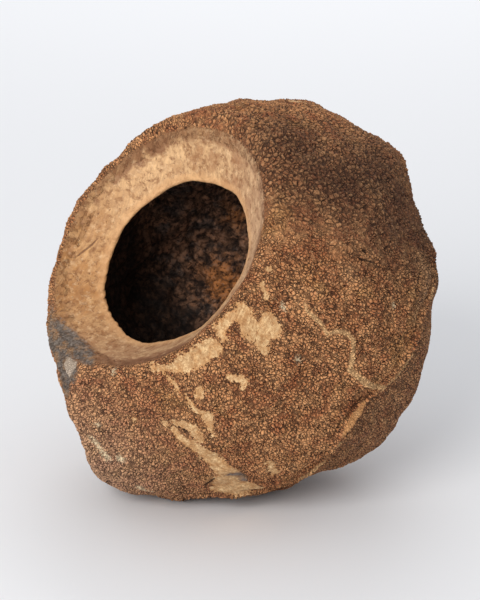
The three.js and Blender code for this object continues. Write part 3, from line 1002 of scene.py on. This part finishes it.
def mottle_group():
    """Two tones that drift into each other in soft uneven patches"""
    inputs = [
        ("Place", "Vector", None),
        ("Patch size", "Float", 10.0),
        ("Low tone", "Color", (0, 0, 0, 1)),
        ("High tone", "Color", (1, 1, 1, 1)),
    ]
    group = shader_group("mottle", inputs, [("Colour", "Color")])
    nodes = Nodes(group)
    given = group.nodes.new("NodeGroupInput").outputs
    scale = nodes.math("DIVIDE", 1.0, given["Patch size"])
    noise_inputs = {"Vector": given["Place"], "Scale": scale, "Detail": 4.0, "Roughness": 0.6}
    drift = nodes.add("ShaderNodeTexNoise", noise_inputs).outputs["Fac"]
    colour = nodes.blend(nodes.step(drift, 0.32, 0.68), given["Low tone"], given["High tone"])
    nodes.add("NodeGroupOutput", {"Colour": colour})
    return group


def start_material(name):
    material = bpy.data.materials.new(name)
    material.use_nodes = True
    material.node_tree.nodes.clear()
    nodes = Nodes(material.node_tree)
    shader = nodes.add("ShaderNodeBsdfPrincipled")
    nodes.add("ShaderNodeOutputMaterial", {"Surface": shader.outputs[0]})

    def mark(mark_name, output="Fac"):
        return nodes.add("ShaderNodeAttribute", attribute_name=mark_name).outputs[output]

    return material, nodes, shader, mark


def use_group(nodes, group, **inputs):
    node = nodes.add("ShaderNodeGroup", node_tree=group)
    for name, value in inputs.items():
        nodes.feed(node.inputs[name.replace("_", " ")], value)
    return node.outputs


LIP_MARKS = (
    "across", "orange", "bright", "pinkish", "shaded", "stained", "hidden", "weathered", "beige", "split",
)


def lip_group(fibre, mottle):
    """The bare wood of the lip, stained along the rim and weathered at one corner"""
    marks = [name.capitalize() for name in LIP_MARKS]
    inputs = [("Place", "Vector", None)] + [(name, "Float", 0.0) for name in marks]
    outputs = [("Colour", "Color"), ("Height", "Float")]
    group = shader_group("lip wood", inputs, outputs)
    nodes = Nodes(group)
    given = group.nodes.new("NodeGroupInput").outputs
    place = given["Place"]

    wood = use_group(nodes, mottle, Place=place, Patch_size=7.0,
                     Low_tone=tone(166, 114, 68), High_tone=tone(232, 190, 138))["Colour"]
    wood = nodes.tint(wood, given["Orange"], 0.6, 196, 138, 78)
    # Painted light: a brighter tint on the far side of the lip, where the key falls
    wood = nodes.tint(wood, given["Bright"], 0.55, 236, 194, 144)
    wood = nodes.tint(wood, given["Pinkish"], 0.5, 212, 174, 144)
    wood = nodes.tint(wood, given["Shaded"], 0.5, 160, 124, 98)
    threads = use_group(nodes, fibre, Place=place)
    wood = nodes.tint(wood, threads["Streak"], 0.45, 146, 106, 76)
    blotch = nodes.step(nodes.noise(place, 3.2, 5.0, 0.7), 0.48, 0.64)
    wood = nodes.tint(wood, blotch, 0.6, 138, 90, 52)
    pale = nodes.step(nodes.noise(place, 2.6, 5.0, 0.7), 0.52, 0.66)
    wood = nodes.tint(wood, pale, 0.35, 244, 208, 164)
    vein = nodes.math("ABSOLUTE", nodes.math("SUBTRACT", nodes.noise(place, 7.0, 5.0, 0.62), 0.5))
    vein = nodes.times(nodes.step(vein, 0.003, 0.018, 1.0, 0.0), nodes.step(blotch, 0.0, 0.5, 0.25, 1.0))
    wood = nodes.tint(wood, vein, 0.6, 112, 70, 40)
    wood = nodes.tint(wood, threads["Pore"], 0.6, 108, 70, 46)
    wood = nodes.cover(wood, given["Across"], 0.74, 0.95, 0.5, 220, 168, 116)
    border = nodes.roughen(given["Across"], nodes.noise(place, 6.0, 3.0), 0.9)
    border = nodes.math("MULTIPLY_ADD", given["Hidden"], -0.22, border)
    border = nodes.times(nodes.step(border, 0.16, -0.08, 0.0, 0.8), given["Stained"])
    wood = nodes.blend(border, wood, tone(122, 76, 48))
    grit = nodes.noise(place, 1.8, 5.0, 0.72)
    grey = nodes.roughen(given["Weathered"], grit, 1.3)
    cloud = nodes.noise(place, 5.0, 4.0, 0.65)
    greys = nodes.blend(nodes.step(grit, 0.38, 0.62), tone(68, 64, 61), tone(136, 129, 122))
    greys = nodes.cover(greys, cloud, 0.46, 0.64, 0.7, 178, 138, 100)
    wood = nodes.blend(nodes.step(grey, 0.3, 0.9, 0.0, 0.85), wood, greys)
    beige = nodes.roughen(given["Beige"], grit, 0.7)
    wood = nodes.cover(wood, beige, 0.3, 0.7, 0.9, 200, 180, 160)
    wood = nodes.cover(wood, given["Split"], 0.3, 0.6, 0.75, 104, 66, 42)
    height = nodes.math("MULTIPLY_ADD", threads["Streak"], -0.4, nodes.times(threads["Pore"], -0.6))
    height = nodes.math("MULTIPLY_ADD", blotch, -0.4, height)
    nodes.add("NodeGroupOutput", {"Colour": wood, "Height": height})
    return group


def lip_inputs(mark):
    return {name.capitalize(): mark(name) for name in LIP_MARKS}


def bark_material(fibre, mottle, lip_wood):
    material, nodes, shader, mark = start_material("cork_bark")
    place = mark("pod_place", "Vector")
    crack, granule, crumb, torn = cork_pattern(nodes, place, mark, 1 / GRANULE_SIZE)
    peeled = nodes.step(torn, 0.47, 0.55)

    cork = use_group(nodes, mottle, Place=place, Patch_size=14.0,
                     Low_tone=tone(184, 121, 76), High_tone=tone(228, 164, 110))["Colour"]
    red = nodes.step(nodes.noise(place, 9.0, 4.0, 0.6), 0.46, 0.62)
    cork = nodes.tint(cork, red, 0.6, 174, 98, 60)
    yellow = nodes.step(nodes.noise(place, 17.0, 4.0, 0.6), 0.54, 0.66)
    cork = nodes.tint(cork, yellow, 0.4, 192, 142, 82)
    cork = nodes.tint(cork, mark("low_left"), 0.6, 216, 180, 152)
    # Painted shade: the upper right of the body, turned from the key, is painted darker
    cork = nodes.tint(cork, mark("dusk"), 0.9, 92, 58, 42)
    # Painted shade: the base beyond the ring, which faces down and away from the key, is painted darker
    cork = nodes.tint(cork, mark("base"), 0.5, 126, 86, 60)
    worn = nodes.blend(nodes.noise(nodes.vector("MULTIPLY", place, (1.0, 0.3, 1.0)), 2.0, 3.0, 0.6),
                       tone(150, 106, 72), tone(226, 176, 126))
    cork = nodes.blend(nodes.times(mark("worn"), 0.85), cork, worn)
    cork = nodes.cover(cork, granule, 0.45, 0.05, 0.2, 104, 62, 40)
    cork = nodes.cover(cork, granule, 0.6, 1.0, 0.25, 214, 164, 114)
    cork = nodes.cover(cork, crumb, 0.48, 0.32, 0.35, 92, 54, 32)
    cork = nodes.cover(cork, crumb, 0.54, 0.68, 0.5, 230, 184, 134)
    # More painted shade over the upper right
    cork = nodes.tint(cork, mark("dusk"), 0.5, 54, 29, 18)
    broken = nodes.step(nodes.noise(place, 4.0, 3.0, 0.6), 0.34, 0.54, 0.75, 0.97)
    scar = nodes.step(nodes.roughen(mark("scar"), crumb, 0.6), 0.2, 0.65)
    cork = nodes.blend(nodes.times(scar, broken), cork, tone(232, 184, 130))
    dark_crack = nodes.times(crack, nodes.math("MULTIPLY_ADD", mark("scar"), -0.65, 0.9))
    cork = nodes.blend(dark_crack, cork, tone(44, 22, 12))
    near_edge = nodes.times(nodes.step(torn, 0.3, 0.47), 0.45)
    cork = nodes.blend(near_edge, cork, tone(88, 52, 34))

    wood = use_group(nodes, mottle, Place=place, Patch_size=4.0,
                     Low_tone=tone(218, 170, 116), High_tone=tone(254, 218, 164))["Colour"]
    threads = use_group(nodes, fibre, Place=place)
    wood = nodes.tint(wood, threads["Streak"], 0.75, 166, 114, 66)
    wood = nodes.tint(wood, crack, 0.25, 140, 92, 54)
    pit = nodes.step(nodes.noise(place, 1.2, 3.0, 0.6), 0.5, 0.36)
    wood = nodes.tint(wood, pit, 0.4, 140, 92, 52)
    wood = nodes.cover(wood, torn, 0.85, 0.5, 0.45, 200, 132, 74)

    colour = nodes.blend(peeled, cork, wood)
    torn_wood = nodes.blend(0.5, wood, tone(212, 154, 100))
    colour = nodes.blend(nodes.step(mark("ledge"), 0.3, 0.7, 0.0, 0.9), colour, torn_wood)
    lip = use_group(nodes, lip_wood, Place=place, **lip_inputs(mark))
    lipness = lip_edge_mask(nodes, mark("lipness"), crumb)
    frayed = nodes.roughen(mark("weathered"), crumb, 0.8)
    grey_bark = nodes.step(frayed, 0.35, 0.75)
    colour = nodes.blend(nodes.math("MAXIMUM", lipness, grey_bark), colour, lip["Colour"])
    chalk = nodes.roughen(mark("chalk"), crumb, 1.2)
    colour = nodes.cover(colour, chalk, 0.22, 0.8, 0.95, 246, 224, 184)
    colour = nodes.cover(colour, mark("cleft"), 0.35, 0.65, 0.85, 44, 24, 15)
    colour = nodes.tint(colour, mark("stalk"), 0.5, 84, 58, 42)
    nodes.feed(shader.inputs["Base Color"], colour)
    nodes.feed(shader.inputs["Roughness"], nodes.between(peeled, 0.88, 0.7))

    height = nodes.math("MULTIPLY_ADD", crack, -0.8, nodes.times(crumb, 0.7))
    grit = nodes.noise(place, 0.45)
    height = nodes.math("MULTIPLY_ADD", grit, 0.3, height)
    height = nodes.between(peeled, height, nodes.times(grit, 0.5))
    height = nodes.between(lipness, height, lip["Height"])
    bump = nodes.add("ShaderNodeBump", {"Height": height, "Strength": 1.0, "Distance": 1.1 * MM})
    nodes.feed(shader.inputs["Normal"], bump.outputs[0])
    shader.inputs["Specular IOR Level"].default_value = 0.3
    return material


def wood_material(mottle, lip_wood):
    material, nodes, shader, mark = start_material("bare_wood")
    place = mark("pod_place", "Vector")
    hollow = nodes.step(mark("hollow"), 0.5, 1.0)
    lip = use_group(nodes, lip_wood, Place=place, **lip_inputs(mark))

    lining = use_group(nodes, mottle, Place=place, Patch_size=6.0,
                       Low_tone=tone(76, 53, 42), High_tone=tone(192, 140, 108))["Colour"]
    ashen = nodes.step(nodes.noise(place, 8.0, 3.0, 0.6), 0.5, 0.62)
    lining = nodes.tint(lining, ashen, 0.6, 104, 96, 92)
    rust = nodes.math("MULTIPLY_ADD", mark("rusty"), 0.4, nodes.noise(place, 6.0, 4.0, 0.65))
    rust = nodes.times(nodes.step(rust, 0.62, 0.82), mark("rusty"))
    lining = nodes.blend(rust, lining, tone(206, 130, 70))
    clod = nodes.cells(clod_place(nodes, place), 1 / CLOD_SIZE, "DISTANCE_TO_EDGE", "Distance")
    crumbs = nodes.noise(place, 2.2, 4.0, 0.65)
    lining = nodes.cover(lining, crumbs, 0.52, 0.38, 0.8, 24, 14, 10)
    lining = nodes.cover(lining, crumbs, 0.54, 0.66, 0.6, 176, 136, 110)
    lining = nodes.cover(lining, clod, 0.22, 0.0, 0.65, 18, 11, 8)
    # Painted shade over the left and middle of the hollow
    lining = nodes.tint(lining, mark("sooty"), 0.8, 20, 12, 9)

    nodes.feed(shader.inputs["Base Color"], nodes.blend(hollow, lip["Colour"], lining))
    nodes.feed(shader.inputs["Roughness"], nodes.between(hollow, 0.62, 0.9))
    height = nodes.between(hollow, lip["Height"], nodes.times(crumbs, 3.0))
    bump = nodes.add("ShaderNodeBump", {"Height": height, "Strength": 0.6, "Distance": 0.4 * MM})
    nodes.feed(shader.inputs["Normal"], bump.outputs[0])
    shader.inputs["Specular IOR Level"].default_value = 0.35
    return material


# The pod

fibre = fibre_group()
mottle = mottle_group()
lip_wood = lip_group(fibre, mottle)
bark = bark_material(fibre, mottle, lip_wood)
wood = wood_material(mottle, lip_wood)
crackle = bark_relief_tree()
wood_surface = wood_relief_tree()

bark_values = {
    "Granule size": GRANULE_SIZE,
    "Crack depth": CRACK_DEPTH,
    "Peel depth": PEEL_DEPTH,
    "Material": bark,
}
wood_values = {"Lip roughness": LIP_ROUGHNESS, "Lump height": LUMP_HEIGHT, "Material": wood}

pieces = []
for number, first in enumerate(QUARTERS, start=1):
    quarter = make_bark_quarter(number, first)
    apply_tree(quarter, crackle, bark_values)
    pieces.append(quarter)
shell = make_wood()
apply_tree(shell, wood_surface, wood_values)
pieces.append(shell)

for piece in pieces:
    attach(piece, "root")
    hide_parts("pod")


# Table, light and camera

CAMERA_AZIMUTH = 44
CAMERA_ELEVATION = 18
CAMERA_DISTANCE = 1.1
LENS = 135.5
IMAGE_LONG_SIDE = 600
SHIFT_RIGHT = -3
SHIFT_UP = -2
KEY_AZIMUTH = 19
KEY_ELEVATION = 28
KEY_DISTANCE = 1.7


def towards(azimuth, elevation):
    a = math.radians(azimuth)
    e = math.radians(elevation)
    return Vector((math.sin(a) * math.cos(e), -math.cos(a) * math.cos(e), math.sin(e)))


def make_table():
    half = 6.0
    gap = 0.0001
    mesh = bpy.data.meshes.new("table")
    corners = [(-half, -half, -gap), (half, -half, -gap), (half, half, -gap), (-half, half, -gap)]
    mesh.from_pydata(corners, [], [(0, 1, 2, 3)])
    table = bpy.data.objects.new("table", mesh)
    bpy.context.scene.collection.objects.link(table)
    material, nodes, shader, _ = start_material("pale_table")
    shader.inputs["Base Color"].default_value = tone(237, 238, 241)
    shader.inputs["Roughness"].default_value = 0.9
    shader.inputs["Specular IOR Level"].default_value = 0.1
    mesh.materials.append(material)


def add_light(name, place, target, size, power, warmth):
    light = bpy.data.lights.new(name, "AREA")
    light.shape = "DISK"
    light.size = size
    light.energy = power
    light.color = warmth
    lamp = bpy.data.objects.new(name, light)
    bpy.context.scene.collection.objects.link(lamp)
    lamp.location = Vector(place)
    lamp.rotation_euler = (Vector(place) - Vector(target)).to_track_quat("Z", "Y").to_euler()


def add_camera():
    back = towards(CAMERA_AZIMUTH, CAMERA_ELEVATION)
    data = bpy.data.cameras.new("camera")
    data.lens = LENS
    data.sensor_width = 36
    data.shift_x = SHIFT_RIGHT / IMAGE_LONG_SIDE
    data.shift_y = SHIFT_UP / IMAGE_LONG_SIDE
    data.clip_start = 0.05
    camera = bpy.data.objects.new("camera", data)
    camera.location = Vector(CENTRE * MM) + back * CAMERA_DISTANCE
    camera.rotation_euler = back.to_track_quat("Z", "Y").to_euler()
    bpy.context.scene.collection.objects.link(camera)
    bpy.context.scene.camera = camera


make_table()
key_place = CENTRE * MM + np.array(towards(KEY_AZIMUTH, KEY_ELEVATION)) * KEY_DISTANCE
add_light("key", key_place, CENTRE * MM, 0.9, 19, (1.0, 0.985, 0.96))
add_light("far lamp", (-1.1, 1.3, 1.5), (-1.0, 1.2, 0.0), 1.4, 13, (1.0, 1.0, 1.0))
add_camera()

world = bpy.data.worlds.new("pale room")
bpy.context.scene.world = world
world.use_nodes = True
world.node_tree.nodes["Background"].inputs["Color"].default_value = (0.955, 0.965, 0.98, 1)
world.node_tree.nodes["Background"].inputs["Strength"].default_value = 0.62
bpy.context.scene.view_settings.view_transform = "Standard"
